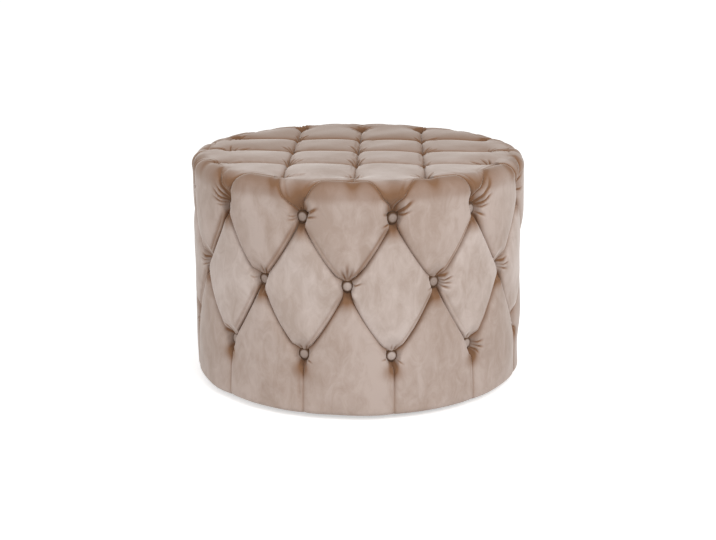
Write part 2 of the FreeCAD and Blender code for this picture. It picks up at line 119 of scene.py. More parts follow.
# Doubled creases beside the pleats: start and length as shares of the pleat, height, and soft ends
RIDGE_STARTS = (0.0, 0.5)
RIDGE_LENGTHS = (0.3, 0.6)
RIDGE_HEIGHTS = (0.0, 0.0016)
RIDGE_ENDS = (0.16, 0.25)
LEFT_RIDGE = (0.04, 0.66)
LEFT_RIDGE_HEIGHTS = (0.0018, 0.0032)
RIDGE_PLACE = 0.0062
RIDGE_WIDTH = 0.0018

# Reach of the pleats into the puffs: how their pull fades, how much steeper the cloth over an arch rises
# where that under it is tight, and the reach of the hang and the heights at which it comes in
PULL_POWER = 2.5
OVER_LIP_POWER = -0.15
HANG_REACH = 0.01
HANG_HEIGHTS = (-0.002, 0.009)

# Cloth that a button draws in, and the funnels of the side's buttons: reach above, reach below, how far the
# seat fills up above, and how narrow that is
BUTTON_REACH = 0.0128
SEAT_EDGE = 0.0075
SEAT_FILL = (0.004, 0.009)
RIDGE_STOP = 0.008
DRAWN_POWER = 0.75
FALL_POWER = 6
FUNNELS = {
    "upper": (0.030, 0.016, 0.35, 2),
    "middle": (0.028, 0.018, 0.85, 3),
    "lower": (0.028, 0.010, 0.85, 3),
}
NO_FUNNEL = (0.0, 0.0, 0.0, 1)

# Dimples where the arches meet at the lip, with painted shade in them
DIMPLE_RADIUS = 0.01
DIMPLE_STRETCH = 0.6
DIMPLE_DEPTH = 0.0015
DIMPLE_SHADE = 0.9

# Painted shade, browner where shade falls: of pleat lines, low cloth, creases, the band under the lip, and
# the funnels round a button
RIGHT_FADE = 0.75
FOOT_CREASE_SHADE = 0.45
CREASE_SHADE_REACH = 0.0026
SUNK_SHADE = 0.35
SUNK_CREASE_SHARE = 0.6
MOST_SUNK = 1.5
CLEAR_SHARE = 0.75
CREASE_DEPTH = 0.003
GATHER_SHADE = 1.3
RIDGE_SHADE = 0.5
BAND_SHADE = (0.006, 0.027, 0.7, 0.0)
BELOW_SHADE = (0.012, 0.048, 1.35, 0.0)
TONGUE_SHADE = (0.034, 0.060, 1.05, 0.0)
ABOVE_SHADE = (0.014, 0.030, 0.7, 0.0)

# Painted shade off the diamonds, and more of it towards the back of the top
OFF_DIAMOND_SHADE = 0.34
TOP_BACK_SHADE = 0.75
BACK_DEPTHS = (-0.25, 0.2)
BACK_HEIGHTS = (0.36, 0.38)

# Gathers at the buttons: where they come out, how wide they are and become, their banks, and the deepest
GATHER_START = (0.008, 0.014)
GATHER_WIDTH = 0.6
GATHER_SPREAD = 0.03
GATHER_BANKS = 1.6
DEEPEST_FOLD = 0.0036

# Gathers at the buttons without a fan of their own: a sheaf to one side, and loose folds round the rest
FOLD_SEED = 731
FOLD_COUNTS = (3, 5)
SHEAF_STEP = 0.32
SHEAF_LENGTHS = (0.024, 0.046)
SHEAF_DEPTHS = (0.0018, 0.0032)
SHEAF_WIDTH = 0.0026
LOOSE_TURNS = (1.6, 2 * math.pi - 0.6)
LOOSE_LENGTHS = (0.018, 0.03)
LOOSE_DEPTHS = (0.001, 0.002)
LOOSE_WIDTH = 0.0021

# Fans of folds at the front's buttons: degrees from level right, length in millimetres, and pull
FAN_WIDTHS = (0.0022, 0.0030)
PULL_DEPTH = 0.00135
FANS = {
    ("upper", 10): ((108, 52, 3.4), (124, 46, 3.4), (140, 48, 3.2), (156, 40, 2.6), (174, 26, 1.8)),
    ("upper", 11): (
        (33, 40, 3.2), (10, 32, 2.2), (82, 24, 1.6), (98, 24, 1.6), (172, 24, 1.6), (192, 24, 1.6),
    ),
    ("upper", 0): (
        (46, 48, 3.4), (28, 34, 2.6), (82, 28, 1.8), (98, 28, 1.8), (150, 24, 1.8), (214, 26, 2.4),
    ),
    ("upper", 1): ((52, 58, 3.6), (34, 48, 3.4), (16, 34, 2.4), (-30, 28, 2.0), (90, 24, 1.6)),
    ("upper", 2): ((60, 44, 2.8), (20, 30, 2.0)),
    ("middle", 11): ((68, 30, 1.6), (88, 32, 1.4), (-68, 30, 1.6), (-92, 26, 1.6), (165, 24, 1.4)),
    ("middle", 0): (
        (55, 46, 2.8), (73, 42, 1.8), (88, 48, 1.8), (103, 38, 1.8), (20, 32, 2.2), (-60, 32, 2.2),
    ),
    ("middle", 1): (
        (40, 32, 2.6), (18, 34, 2.8), (-4, 30, 2.6), (-26, 30, 2.4), (66, 32, 1.8), (210, 24, 1.6),
    ),
    ("middle", 2): ((35, 32, 2.4), (8, 32, 2.6), (-20, 28, 2.4)),
    ("middle", 10): ((150, 30, 2.4), (175, 30, 2.2), (205, 28, 2.0)),
    ("lower", 10): ((112, 36, 2.4), (130, 30, 2.0), (-60, 26, 1.6)),
    ("lower", 11): ((70, 24, 1.4), (108, 24, 1.4), (-28, 24, 1.8)),
    ("lower", 0): ((70, 26, 1.4), (92, 26, 1.2), (-35, 24, 1.6), (190, 22, 1.4)),
    ("lower", 1): ((100, 26, 1.6), (-20, 30, 2.4), (10, 28, 2.0), (-50, 28, 2.2)),
    ("rim", 0, -2): (
        (66, 26, 2.0), (115, 26, 2.0), (30, 22, 1.6), (150, 22, 1.6), (250, 30, 2.0), (285, 30, 2.2),
    ),
    ("rim", -1, -2): ((28, 42, 3.4), (52, 28, 2.2), (90, 24, 1.8), (126, 26, 2.0)),
    ("rim", 1, -2): ((32, 36, 2.8), (62, 26, 1.8), (105, 26, 1.8), (142, 28, 2.2)),
    ("rim", 2, -1): ((100, 42, 2.6), (124, 38, 2.4), (146, 32, 2.0), (60, 32, 2.0), (30, 28, 1.8)),
}

# Covered buttons: their size, their foot as steps in from the radius and up, mesh steps, the gathers and
# swells of their cloth, and how they sink and lean in their seats
BUTTON_RADIUS = 0.011
BUTTON_HEIGHT = 0.0075
BUTTON_EDGE = 0.0026
BUTTON_DOME = 0.0009
BUTTON_FOOT = ((0.0022, 0.0), (0.0007, 0.0006), (0.0002, 0.0018))
BUTTON_STEPS = 60
EDGE_STEPS = 6
DOME_STEPS = 6
BUTTON_GATHERS = (13, 17)
GATHER_PINCH = 0.00022
CLOTH_SWELL = 0.0002
SEAT_OVERLAP = 0.0003
MOST_LEAN = math.radians(5)

# How dark a button's velvet is: painted shade at its rim where it meets the cloth, then listed tones of the
# front's and random ones of the others
BUTTON_RIM_SHADE = 1.3
OTHER_TONES = (0.1, 0.6)
BUTTON_TONES = {
    ("upper", 10): 0.4,
    ("upper", 11): 0.25,
    ("upper", 0): 0.4,
    ("middle", 11): 0.45,
    ("middle", 0): 0.0,
    ("middle", 1): 0.45,
    ("lower", 10): 0.4,
    ("lower", 11): 0.0,
    ("lower", 0): 0.0,
    ("lower", 1): 0.2,
}

# Finishes by the start or the end of a node's name; the longest that fits counts, so a board's screws are
# finished with it. Boards and posts: material, colours of early and late wood, stretch, and roughness
WOODS = {
    "wall_panel": ("hardboard", (0.2, 0.115, 0.06), (0.13, 0.07, 0.035), (90, 90, 90), 0.55),
    "top_board": ("top_plywood", (0.58, 0.4, 0.22), (0.42, 0.27, 0.13), (6, 90, 400), 0.6),
    "base_board": ("base_plywood", (0.56, 0.39, 0.22), (0.4, 0.26, 0.13), (8, 90, 400), 0.6),
    "frame_post": ("softwood", (0.66, 0.47, 0.26), (0.5, 0.31, 0.14), (120, 120, 8), 0.7),
}

# The others: material, dark and light colour, specks to the metre, metallic or not, bump and its depth
FITTINGS = {
    "dust_cover": ("dust_cloth", (0.012, 0.012, 0.013), (0.03, 0.03, 0.032), 900.0),
    "dust_cover_staples": ("staple_wire", (0.5, 0.5, 0.51), (0.62, 0.62, 0.63), 1500.0, 1.0),
    "glide": ("glide_plastic", (0.014, 0.014, 0.014), (0.028, 0.028, 0.028), 1400.0),
    "screws": ("zinc_plate", (0.52, 0.46, 0.33), (0.64, 0.6, 0.47), 1100.0, 1.0),
    "button_backs": ("pressed_metal", (0.55, 0.55, 0.56), (0.7, 0.7, 0.71), 1200.0, 1.0),
    "twines": ("waxed_twine", (0.6, 0.55, 0.44), (0.74, 0.7, 0.59), 2600.0, 0.0, 0.3, 0.0004),
    "washers": ("washer_plastic", (0.72, 0.72, 0.7), (0.82, 0.82, 0.8), 1300.0),
}

# Studio: sizes and places of the two lamps, the point that they face, and the floor
KEY_SIZE = 1.8
KEY_PLACE = (1.5, -2.0, 2.1)
FILL_SIZE = 2.0
FILL_PLACE = (-2.4, -1.6, 1.2)
AIM = (0.0, 0.0, 0.25)
FLOOR_REACH = 12.0
FLOOR_GLOW = 0.5


class PoufShape(bpy.types.PropertyGroup):
    """Sizes of the tufted cover."""

    diameter: FloatProperty(
        name="Diameter", description="Across the crests of the puffs", default=0.6, unit="LENGTH"
    )
    height: FloatProperty(
        name="Height", description="Floor to the top's crests", default=0.408, unit="LENGTH"
    )
    puff_rise: FloatProperty(
        name="Puff rise", description="Height of a puff over its pleats", default=0.017, unit="LENGTH"
    )
    rim_radius: FloatProperty(
        name="Rim radius", description="Roll between the top and the side", default=0.01, unit="LENGTH"
    )
    cover_bottom: FloatProperty(
        name="Cover bottom", description="Hem's height over the floor", default=0.008, unit="LENGTH"
    )
    side_tufts: IntProperty(name="Side tufts", description="Buttons in each row of the side", default=12)
    middle_row_turn: FloatProperty(
        name="Middle row turn",
        description="Turn of the middle row's front button",
        default=math.radians(-3.6),
        subtype="ANGLE",
    )
    upper_row_drop: FloatProperty(
        name="Upper row drop", description="Top to the upper row of buttons", default=0.063, unit="LENGTH"
    )
    row_pitch: FloatProperty(
        name="Row pitch", description="Upper to middle row of buttons", default=0.114, unit="LENGTH"
    )
    lower_row_pitch: FloatProperty(
        name="Lower row pitch", description="Middle to lower row of buttons", default=0.122, unit="LENGTH"
    )
    grid_pitch: FloatProperty(
        name="Top grid pitch", description="Spacing of the top's buttons", default=0.116, unit="LENGTH"
    )
    grid_turn: FloatProperty(
        name="Top grid turn",
        description="Turn of the top's grid of buttons",
        default=math.radians(-1.7),
        subtype="ANGLE",
    )
    lip_run: FloatProperty(
        name="Lip run",
        description="From the top's middle out to the fold that hangs over the side",
        default=0.268,
        unit="LENGTH",
    )
    button_sink: FloatProperty(
        name="Button sink",
        description="Depth of a button's seat under the pleats",
        default=0.008,
        unit="LENGTH",
    )
    rim_button_sink: FloatProperty(
        name="Rim button sink", description="The same at the rim of the top", default=0.008, unit="LENGTH"
    )
    patch_steps: IntProperty(
        name="Patch steps", description="Mesh steps from a button to the middle of a puff", default=40
    )


class VelvetLook(bpy.types.PropertyGroup):
    """Colours of the velvet."""

    pile_colour: FloatVectorProperty(
        name="Pile", description="Velvet seen square on", default=(0.42, 0.333, 0.287), subtype="COLOR"
    )
    stroked_colour: FloatVectorProperty(
        name="Stroked pile",
        description="Velvet where the pile lies the other way",
        default=(0.54, 0.452, 0.41),
        subtype="COLOR",
    )
    # Painted shade: the colour that the velvet is browned towards where shade falls
    painted_shade_colour: FloatVectorProperty(
        name="Hollows",
        description="Velvet deep between the puffs",
        default=(0.225, 0.12, 0.066),
        subtype="COLOR",
    )


class StageLook(bpy.types.PropertyGroup):
    """Floor, lights and camera."""

    floor_colour: FloatVectorProperty(
        name="Floor", description="Colour of floor and backdrop", default=(0.9, 0.9, 0.9), subtype="COLOR"
    )
    key_power: FloatProperty(
        name="Key power", description="Power of the overhead softbox", default=46.0, unit="POWER"
    )
    fill_power: FloatProperty(
        name="Fill power", description="Power of the front fill", default=19.0, unit="POWER"
    )
    sky_strength: FloatProperty(name="Sky", description="Strength of the even light", default=0.62)
    lens: FloatProperty(name="Lens", description="Focal length in millimetres", default=65.07)
    camera_distance: FloatProperty(
        name="Camera distance", description="From the pouf's axis, level", default=2.3104, unit="LENGTH"
    )
    camera_height: FloatProperty(
        name="Camera height", description="Over the floor", default=0.8377, unit="LENGTH"
    )
    camera_pitch: FloatProperty(
        name="Camera pitch", description="Downwards", default=math.radians(15.918), subtype="ANGLE"
    )


def unit(vectors):
    return vectors / np.maximum(np.linalg.norm(vectors, axis=-1, keepdims=True), NEAREST)


def smooth_step(value, low, high):
    share = np.clip((value - low) / (high - low), 0.0, 1.0)
    return share * share * (3 - 2 * share)


def ramp(value, low, high, first, last):
    """Goes smoothly from first to last while value goes from low to high."""
    return first + (last - first) * smooth_step(value, low, high)


def wrapped(angle):
    """Angle brought between minus and plus half a turn."""
    return (angle + math.pi) % (2 * math.pi) - math.pi


def arched(fall, span):
    """How far across and along an arch has come where it has fallen by a share; rounder when it is wide."""
    power = float(np.clip(ARCH_STRAIGHT - (span - ARCH_NARROW) / ARCH_WIDENING, ARCH_ROUND, ARCH_STRAIGHT))
    across = np.sin(fall * math.pi / 2) ** power
    return across, 1 - np.clip(np.cos(fall * math.pi / 2), 0, 1) ** power


def bowed(fall):
    """The same for a pleat of the side, which runs down steeply at first and then more across."""
    across = fall * (1 - PLEAT_BOW) + (1 - np.cos(fall * math.pi / 2)) * PLEAT_BOW
    return across, fall * (1 - PLEAT_BOW) + np.sin(fall * math.pi / 2) * PLEAT_BOW


class Drum:
    """The pouf's pleat level surface, its tufts, and the puffs between them."""

    def __init__(self, shape):
        self.shape = shape
        self.valley_radius = shape.diameter / 2 - shape.puff_rise
        self.valley_top = shape.height - shape.puff_rise
        self.rim = shape.rim_radius
        self.flat_radius = self.valley_radius - self.rim
        self.rim_length = self.rim * math.pi / 2
        self.column_step = 2 * math.pi / shape.side_tufts
        self.places = {}
        self.lay_out_side()
        self.lay_out_top()
        self.puffs = self.side_puffs() + self.top_puffs()
        self.pleats = self.find_pleats()
        self.folds = {name: self.folds_at(number, name) for number, name in enumerate(self.tufts())}

    def skin(self, turn, run):
        """Points and normals of the surface; run goes from the top's middle down the outside."""
        turn, run = np.asarray(turn, float), np.asarray(run, float)
        lean = np.clip((run - self.flat_radius) / self.rim, 0, math.pi / 2)
        radius = np.minimum(run, self.flat_radius) + self.rim * np.sin(lean)
        down = np.maximum(run - self.flat_radius - self.rim_length, 0)
        height = self.valley_top - self.rim * (1 - np.cos(lean)) - down
        away = np.stack([np.sin(turn), -np.cos(turn), np.zeros_like(turn)], -1)
        points = away * radius[..., None] + UP * height[..., None]
        return points, away * np.sin(lean)[..., None] + UP * np.cos(lean)[..., None]

    def run_at(self, height):
        return self.flat_radius + self.rim_length + self.valley_top - self.rim - height

    def lay_out_side(self):
        shape = self.shape
        upper = shape.height - shape.upper_row_drop
        for k in range(shape.side_tufts):
            middle = shape.middle_row_turn + k * self.column_step
            between = middle + self.column_step / 2
            self.places["upper", k] = (between, self.run_at(upper))
            self.places["middle", k] = (middle, self.run_at(upper - shape.row_pitch))
            self.places["lower", k] = (between, self.run_at(upper - shape.row_pitch - shape.lower_row_pitch))
            self.places["hem", k] = (between, self.run_at(shape.cover_bottom))

    def grid_place(self, i, j):
        x, y = i * self.shape.grid_pitch, j * self.shape.grid_pitch
        return math.atan2(x, -y) + self.shape.grid_turn, math.hypot(x, y)

    def lay_out_top(self):
        """The inner grid's tufts, and the ring at the rim, each over a button of the middle row."""
        for i in (-1, 0, 1):
            for j in (-1, 0, 1):
                self.places["grid", i, j] = self.grid_place(i, j)
        span = range(-2, 3)
        rim = [(i, j) for i in span for j in span if max(abs(i), abs(j)) == 2 and abs(i * j) < 4]
        ring = {("rim", i, j): self.grid_place(i, j) for i, j in rim}
        corner_run = math.hypot(1, 2) * self.shape.grid_pitch
        for i, j in [(2, 2), (-2, 2), (2, -2), (-2, -2)][: max(0, self.shape.side_tufts - len(rim))]:
            ring["rim", i, j] = (self.grid_place(i, j)[0], corner_run)
        order = sorted(ring, key=lambda name: ring[name][0] % (2 * math.pi))
        columns = [self.places["middle", k][0] for k in range(len(order))]
        strains = [
            sum(wrapped(ring[order[(k + s) % len(order)]][0] - columns[k]) ** 2 for k in range(len(order)))
            for s in range(len(order))
        ]
        best = strains.index(min(strains))
        self.ring = order[best:] + order[:best]
        for k, name in enumerate(self.ring):
            self.places[name] = ring[name]
            self.places["lip", k] = (ring[name][0], self.shape.lip_run)

    def tufts(self):
        return [name for name in self.places if name[0] not in ("hem", "lip")]

    def side_puffs(self):
        puffs, count = [], self.shape.side_tufts
        for k in range(count):
            before, after = (k - 1) % count, (k + 1) % count
            puffs.append([("middle", k), ("lower", k), ("hem", k), ("hem", before), ("lower", before)])
            puffs.append([("upper", k), ("middle", after), ("lower", k), ("middle", k)])
            puffs.append([("lip", k), ("upper", k), ("middle", k), ("upper", before)])
        return puffs

    def top_puffs(self):
        puffs = []
        for k, left in enumerate(self.ring):
            after = (k + 1) % len(self.ring)
            right = self.ring[after]
            inner = [("grid", max(-1, min(1, n[1])), max(-1, min(1, n[2]))) for n in (right, left)]
            inner = inner if inner[0] != inner[1] else inner[:1]
            puffs.append([("upper", k), ("lip", after), right, *inner, left, ("lip", k)])
        for i in (-1, 0):
            for j in (-1, 0):
                puffs.append([("grid", i, j), ("grid", i + 1, j), ("grid", i + 1, j + 1), ("grid", i, j + 1)])
        return puffs

    def puff_centre(self, corners):
        points = [self.skin(*self.places[name])[0] for name in corners]
        return np.mean(points, axis=0)

    def pleat_kind(self, a, b):
        """What the pleat between tufts a and b is, by its tufts and by the way that it runs down the side."""
        kinds = {a[0], b[0]}
        if kinds <= {"grid", "rim"}:
            return "top"
        if kinds == {"rim", "lip"}:
            return "shoulder"
        if kinds == {"lip", "upper"}:
            return "arch"
        if "hem" in kinds:
            return "foot"
        (turn_a, run_a), (turn_b, run_b) = self.places[a], self.places[b]
        return "left" if (wrapped(turn_b - turn_a) < 0) == (run_b > run_a) else "right"

    def pleat_places(self, a, b, shares):
        """(turn, run) along the pleat from tuft a to tuft b."""
        (turn_a, run_a), (turn_b, run_b) = self.places[a], self.places[b]
        kind = self.pleat_kind(a, b)
        if kind == "top":
            x = run_a * math.sin(turn_a) * (1 - shares) + run_b * math.sin(turn_b) * shares
            y = run_a * math.cos(turn_a) * (1 - shares) + run_b * math.cos(turn_b) * shares
            return np.arctan2(x, y), np.hypot(x, y)
        downwards = run_a < run_b
        across = along = fall = shares if downwards else 1 - shares
        if kind == "arch":
            across, along = arched(fall, abs(wrapped(turn_b - turn_a)) * self.valley_radius)
        elif kind in ("left", "right"):
            across, along = bowed(fall)
        if not downwards:
            across, along = 1 - across, 1 - along
        return turn_a + wrapped(turn_b - turn_a) * across, run_a + (run_b - run_a) * along

    def find_pleats(self):
        """Every pleat between the puffs, by its two ends."""
        pleats = {}
        for corners in self.puffs:
            level = sum(ROW_LEVELS[name[0]] for name in corners) / len(corners)
            for a, b in zip(corners, corners[1:] + corners[:1]):
                if a[0] == "hem" and b[0] == "hem":
                    continue
                pleat = pleats.setdefault(frozenset((a, b)), {"ends": (a, b), "centres": []})
                pleat["centres"].append((level, self.puff_centre(corners)))
        draw = random.Random(PLEAT_SEED)
        for pleat in pleats.values():
            self.lay_pleat(pleat, draw)
        return pleats

    def lay_pleat(self, pleat, draw):
        """Lays a pleat's line, and what the cloth does along it."""
        a, b = pleat["ends"]
        kind = self.pleat_kind(a, b)
        shares = np.linspace(0, 1, PLEAT_POINTS)
        from_lip = shares if a[0] == "lip" else 1 - shares
        turn, run = self.pleat_places(a, b, shares)
        points, normals = self.skin(turn, run)
        across = unit(np.cross(normals, unit(np.gradient(points, axis=0))))
        upper, lower = sorted(pleat["centres"], key=lambda entry: (-entry[0], entry[1][0]))
        to_lower = (lower[1] - upper[1]) @ across[len(shares) // 2]
        pleat["points"] = points
        pleat["lean"] = across * (1.0 if to_lower > 0 else -1.0)
        pleat["floor"] = PLEAT_RISES[kind] * np.sin(np.pi * shares)
        pleat["ridge"] = self.pleat_ridge(kind, shares, draw)
        even = np.ones(len(shares))
        pleat["hang"] = PLEAT_HANGS[kind] * even
        # The crease shade is painted shade along a pleat's line; the band is painted shadow under the lip
        pleat["tuck"], pleat["band"], pleat["ink"] = even, 0 * even, even
        if kind == "arch":
            pleat["floor"] += ramp(from_lip, *ARCH_FALL)
            pleat["hang"] += ramp(from_lip, *ARCH_HANG)
            pleat["tuck"] = ramp(from_lip, *ARCH_TUCK)
            pleat["band"] = ramp((run - run.min()) / (run.max() - run.min()), *ARCH_BAND)
        elif kind == "shoulder":
            pleat["floor"] += LIP_LEVEL * (1 - from_lip)
            pleat["tuck"] = SHOULDER_TUCK * even
            pleat["band"] = SHOULDER_BAND * even
        elif kind == "right":
            pleat["ink"] = 1 - RIGHT_FADE * np.sin(np.pi * shares)
        elif kind == "foot":
            pleat["ink"] = FOOT_CREASE_SHADE * even

    def pleat_ridge(self, kind, shares, draw):
        """Height of the doubled crease beside a pleat, along it; sharper where it runs down to the left."""
        start, length = draw.uniform(*RIDGE_STARTS), draw.uniform(*RIDGE_LENGTHS)
        height = draw.uniform(*RIDGE_HEIGHTS)
        if kind == "left":
            start, length = LEFT_RIDGE
            height = draw.uniform(*LEFT_RIDGE_HEIGHTS)
        end = start + length
        risen = smooth_step(shares, start, start + RIDGE_ENDS[0])
        return height * risen * (1 - smooth_step(shares, end, end + RIDGE_ENDS[1]))

    def seat_depth(self, name):
        return self.shape.rim_button_sink if name[0] == "rim" else self.shape.button_sink

    def folds_at(self, number, name):
        """Gathers that run out from a button: their angle, length, depth and width."""
        draw = random.Random(FOLD_SEED + number)
        if name in FANS:
            return [
                (math.radians(angle), length * MM, pull * PULL_DEPTH, draw.uniform(*FAN_WIDTHS))
                for angle, length, pull in FANS[name]
            ]
        folds = []
        count = draw.randint(*FOLD_COUNTS)
        start = draw.uniform(0, 2 * math.pi)
        for index in range(count):
            length, depth = draw.uniform(*SHEAF_LENGTHS), draw.uniform(*SHEAF_DEPTHS)
            folds.append((start + SHEAF_STEP * index, length, depth, SHEAF_WIDTH))
        for _ in range(draw.randint(*FOLD_COUNTS)):
            angle = start + draw.uniform(*LOOSE_TURNS)
            folds.append((angle, draw.uniform(*LOOSE_LENGTHS), draw.uniform(*LOOSE_DEPTHS), LOOSE_WIDTH))
        return folds

    def chart(self, corners):
        """How a puff's places are laid flat: level spans for the squares on the top, else turn and run."""
        if all(name[0] == "grid" for name in corners):
            return lambda turn, run: np.stack([run * np.sin(turn), run * np.cos(turn)], -1)
        middle = self.places[corners[0]][0]
        return lambda turn, run: np.stack([middle + wrapped(turn - middle), run], -1)

    def patch(self, corners, index, steps):
        """(turn, run) of a grid from a puff's corner to the middles of its two sides and its centre."""
        flat = self.chart(corners)
        name = corners[index]
        after, before = corners[(index + 1) % len(corners)], corners[index - 1]
        grade = np.linspace(0, 1, steps + 1) ** PATCH_GRADE
        centre = np.mean([flat(*map(np.asarray, self.places[corner])) for corner in corners], axis=0)
        side_u = flat(*self.pleat_places(name, after, grade / 2))
        side_v = flat(*self.pleat_places(name, before, grade / 2))
        u, v = grade[:, None, None], grade[None, :, None]
        far_u = side_v[-1] * (1 - u) + centre * u
        far_v = side_u[-1] * (1 - v) + centre * v
        blend = (1 - v) * side_u[:, None] + v * far_u + (1 - u) * side_v[None, :] + u * far_v
        ends = (1 - u) * ((1 - v) * side_u[0] + v * side_v[-1]) + u * ((1 - v) * side_u[-1] + v * centre)
        places = (blend - ends).reshape(-1, 2)
        if all(corner[0] == "grid" for corner in corners):
            return np.arctan2(places[:, 0], places[:, 1]), np.hypot(places[:, 0], places[:, 1])
        return places[:, 0], places[:, 1]

    def pleat_pull(self, corners, base):
        """What the pleats do at each point of a puff: its width, floor, shift, ridge, painted crease shade
        and painted shadow band.
        """
        under_lip = corners[0][0] == "lip"
        inverse, floor, ridge, ink, shade = np.zeros((5, len(base)))
        shift = np.zeros_like(base)
        for key in map(frozenset, zip(corners, corners[1:] + corners[:1])):
            if key not in self.pleats:
                continue
            pleat = self.pleats[key]
            starts, spans = pleat["points"][:-1], np.diff(pleat["points"], axis=0)
            offset = base[:, None] - starts[None]
            share = np.clip((offset * spans).sum(-1) / (spans**2).sum(-1), 0, 1)
            gap = np.linalg.norm(offset - share[..., None] * spans, axis=-1)
            nearest = gap.argmin(axis=1)
            distance = gap.min(axis=1)
            lean = pleat["lean"][nearest]
            behind = ((base - pleat["points"][nearest]) * lean).sum(-1) < 0
            tuck = pleat["tuck"][nearest]
            steepness = tuck if under_lip else tuck**OVER_LIP_POWER
            weight = np.maximum(distance * steepness, NEAREST) ** -PULL_POWER
            inverse = inverse + weight
            floor = floor + weight * pleat["floor"][nearest]
            hanging = pleat["hang"][nearest] * np.exp(-((distance / HANG_REACH) ** 2))
            shift = shift + lean * (weight * hanging)[:, None]
            beside = np.exp(-(((distance - RIDGE_PLACE) / RIDGE_WIDTH) ** 2))
            ridge = ridge + pleat["ridge"][nearest] * beside * behind
            ink = np.maximum(ink, pleat["ink"][nearest] * np.exp(-distance / CREASE_SHADE_REACH))
            # Painted shadow: a band on the cloth under the lip
            if under_lip:
                shade = np.maximum(shade, pleat["band"][nearest] * ramp(distance, *BAND_SHADE))
        return inverse ** (-1 / PULL_POWER), floor / inverse, shift / inverse[:, None], ridge, ink, shade

    def crowned(self, base, normal, width, floor):
        """Height of a puff over the pleats' level: a fold at once from its pleats, then a slow crown."""
        fold = 1 - np.exp(-width / FOLD_WIDTH)
        crown = 1 - (1 - np.clip(width / CROWN_WIDTH, 0, 1)) ** CROWN_POWER
        share = ramp(normal[:, 2], *FOLD_SHARE)
        plump = share * fold + (1 - share) * crown
        foot = smooth_step(base[:, 2], FOOT_START, self.shape.cover_bottom + FOOT_END)
        lift = floor + (FOOT_FLOOR - floor) * foot
        height = lift + (self.shape.puff_rise - lift + self.unevenness(base)) * plump
        return height + RIM_SWELL * np.hypot(normal[:, 0], normal[:, 1]) * normal[:, 2] * plump

    def drawn_in(self, name, height, radius, upward):
        """Height of the cloth that a button draws in, and how much of its ridges is left there."""
        above, below, filled, power = FUNNELS.get(name[0], NO_FUNNEL)
        falling = np.clip(-upward, 0, 1) ** FALL_POWER
        rising = np.clip(upward, 0, 1) ** power
        reach = BUTTON_REACH + below * falling + above * rising
        drawn = smooth_step(radius, SEAT_EDGE, reach) ** DRAWN_POWER
        sink = self.seat_depth(name) * (1 - filled * rising * smooth_step(radius, *SEAT_FILL))
        return (height + sink) * drawn - sink, smooth_step(radius, RIDGE_STOP, reach)

    def funnel_shade(self, name, corners, radius, upward):
        """Painted shade: browner cloth below a side button and, at the upper row, above it, where shade
        falls.
        """
        shade = np.clip(-upward, 0, 1) ** FALL_POWER * ramp(radius, *BELOW_SHADE)
        if name[0] != "upper":
            return shade
        above = TONGUE_SHADE if corners[0][0] == "upper" else ABOVE_SHADE
        return shade + np.clip(upward, 0, 1) ** 2 * ramp(radius, *above)

    def dressed(self, corners, turn, run, depth=0.0, fine=True):
        """Lifts a puff's places to the crowned, pleated and gathered cloth; returns points and their painted
        shade.
        """
        base, normal = self.skin(turn, run)
        width, floor, shift, ridge, ink, shaded = self.pleat_pull(corners, base)
        height = self.crowned(base, normal, width, floor)
        held = np.ones(len(base))
        gathers = np.zeros(len(base))
        tufts = [self.ring[name[1]] if name[0] == "lip" else name for name in corners if name[0] != "hem"]
        for name in dict.fromkeys(tufts):
            right, up = self.spans_from(name, turn, run, base)
            radius = np.hypot(right, up)
            upward = up / np.maximum(radius, NEAREST) if name[0] in FUNNELS else 0 * radius
            height, left = self.drawn_in(name, height, radius, upward)
            held *= left
            shaded += self.funnel_shade(name, corners, radius, upward)
            if fine:
                gathers += self.gathers(name, right, up)
        for name in [name for name in corners if name[0] == "lip"]:
            right, up = self.spans_from(name, turn, run, base)
            dimple = np.exp(-(right**2 + (DIMPLE_STRETCH * up) ** 2) / DIMPLE_RADIUS**2)
            height -= DIMPLE_DEPTH * dimple
            # Painted shade in the dimple
            shaded += DIMPLE_SHADE * dimple
        height += DEEPEST_FOLD * np.tanh((gathers - ridge * held) / DEEPEST_FOLD)
        steep = smooth_step(height, *HANG_HEIGHTS) * held
        placed = base + normal * (height - depth)[:, None] + shift * steep[:, None]
        # Painted shade of the low cloth, pleat lines, creases, funnels, dimples and the cloth off the
        # diamonds
        painted_shade_and_tone = self.painted_hollow_shade(height, ridge, ink, gathers) + shaded + self.tone(corners, base)
        return self.rolled_hem(placed), painted_shade_and_tone

    def painted_hollow_shade(self, height, ridge, ink, gathers):
        """Painted shade: browner on the low cloth, the pleats' lines and the creases, where shade falls."""
        sunk = np.clip(1 - height / (self.shape.puff_rise * CLEAR_SHARE), 0, MOST_SUNK)
        low = SUNK_SHADE * sunk * (1 - SUNK_CREASE_SHARE + SUNK_CREASE_SHARE * ink)
        gathered = GATHER_SHADE * np.clip(-gathers / CREASE_DEPTH, 0, 1)
        return low + ink + gathered + RIDGE_SHADE * np.clip(ridge / CREASE_DEPTH, 0, 1)

    def tone(self, corners, base):
        """Painted shade: none on the diamonds, darker elsewhere and more at the top's back."""
        if all(name[0] in FUNNELS for name in corners):
            return np.zeros(len(base))
        back = smooth_step(base[:, 1], *BACK_DEPTHS) * smooth_step(base[:, 2], *BACK_HEIGHTS)
        return OFF_DIAMOND_SHADE + (0.0 if corners[0][0] == "lip" else TOP_BACK_SHADE) * back

    def spans_from(self, name, turn, run, base):
        """Distances to the right of a tuft and up from it, along the surface."""
        turn_0, run_0 = self.places[name]
        centre, _ = self.skin(turn_0, run_0)
        if name[0] == "grid":
            return base[:, 0] - centre[0], base[:, 1] - centre[1]
        return wrapped(turn - turn_0) * math.hypot(centre[0], centre[1]), run_0 - run

